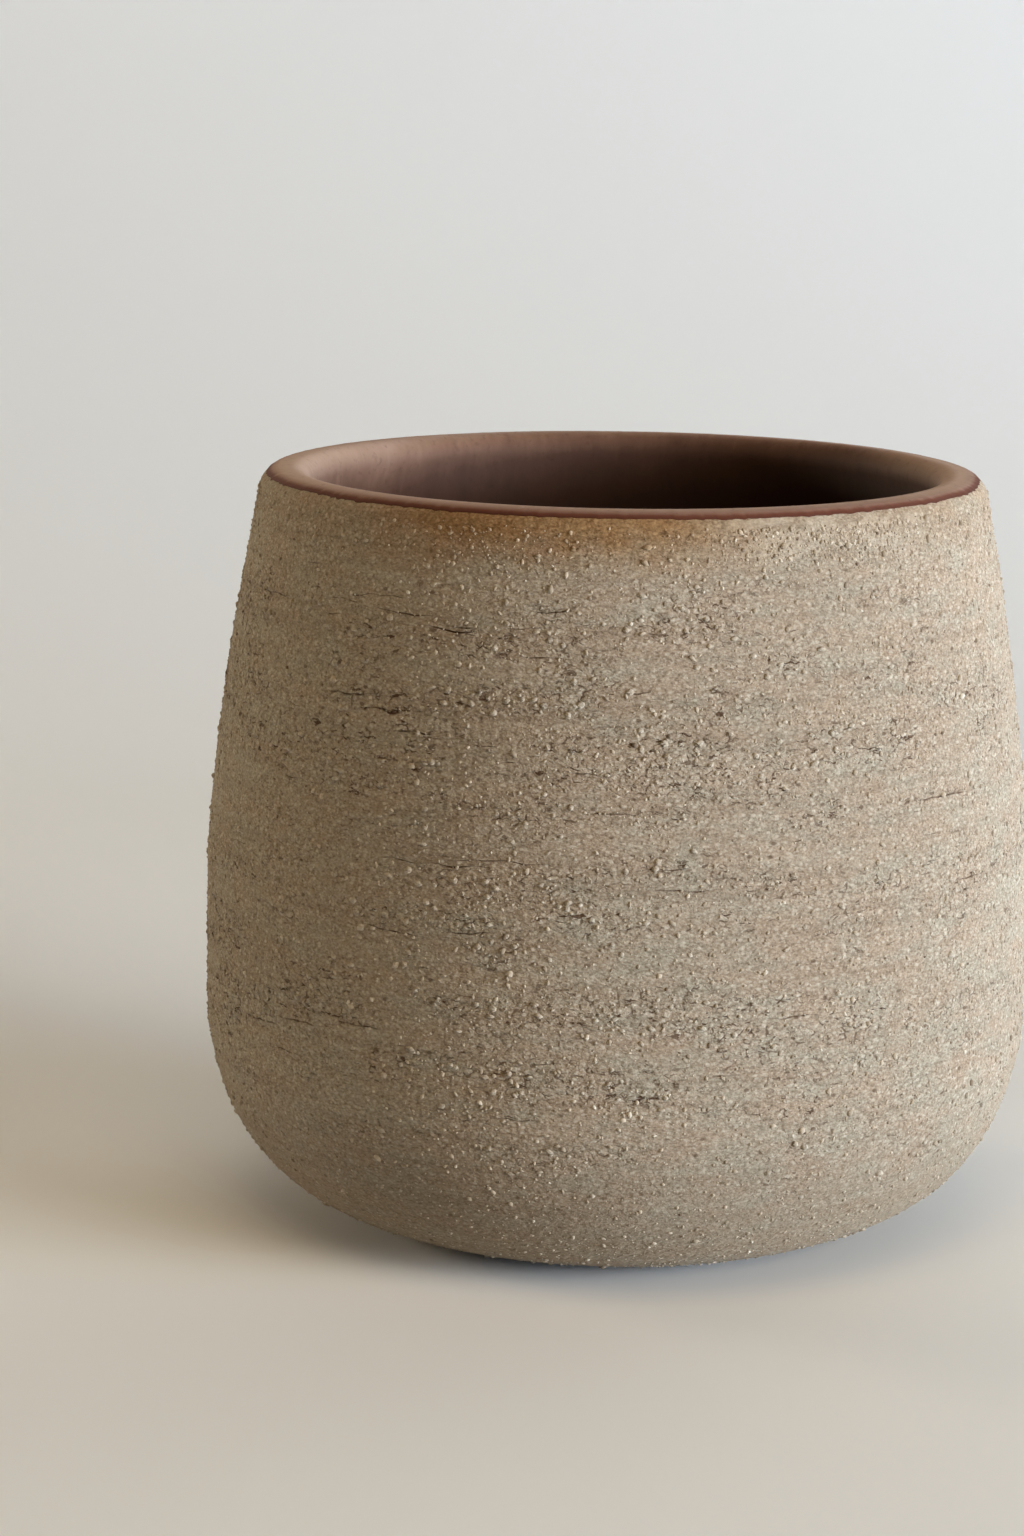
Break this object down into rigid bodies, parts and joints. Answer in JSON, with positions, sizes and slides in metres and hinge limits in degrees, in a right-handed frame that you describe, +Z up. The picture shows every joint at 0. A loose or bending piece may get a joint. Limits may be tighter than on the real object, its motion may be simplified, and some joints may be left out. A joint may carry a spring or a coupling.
{
  "type": "handleless stoneware cup",
  "caption": "Round-bellied wheel-thrown stoneware cup without handles: rounded heel, thick soft lip, raw grogged clay outside and brown glaze inside. Stands on a table and holds a drink.",
  "frame": {"origin": "centre of the standing ring, on the surface that the cup stands on", "axes": "+Z up along the axis of the wheel; X and Y lie in the table and are free, because the cup is round"},
  "size_m": [0.084, 0.084, 0.076],
  "materials": {
    "grogged_stoneware": "raw fired clay with pale grog, turned, rough and dry",
    "iron_glaze": "satin iron-brown glaze that breaks to rust on the lip"
  },
  "bodies": {
    "root": {"stoneware_body": "grogged_stoneware", "liner_glaze": "iron_glaze"}
  },
  "joints": []
}
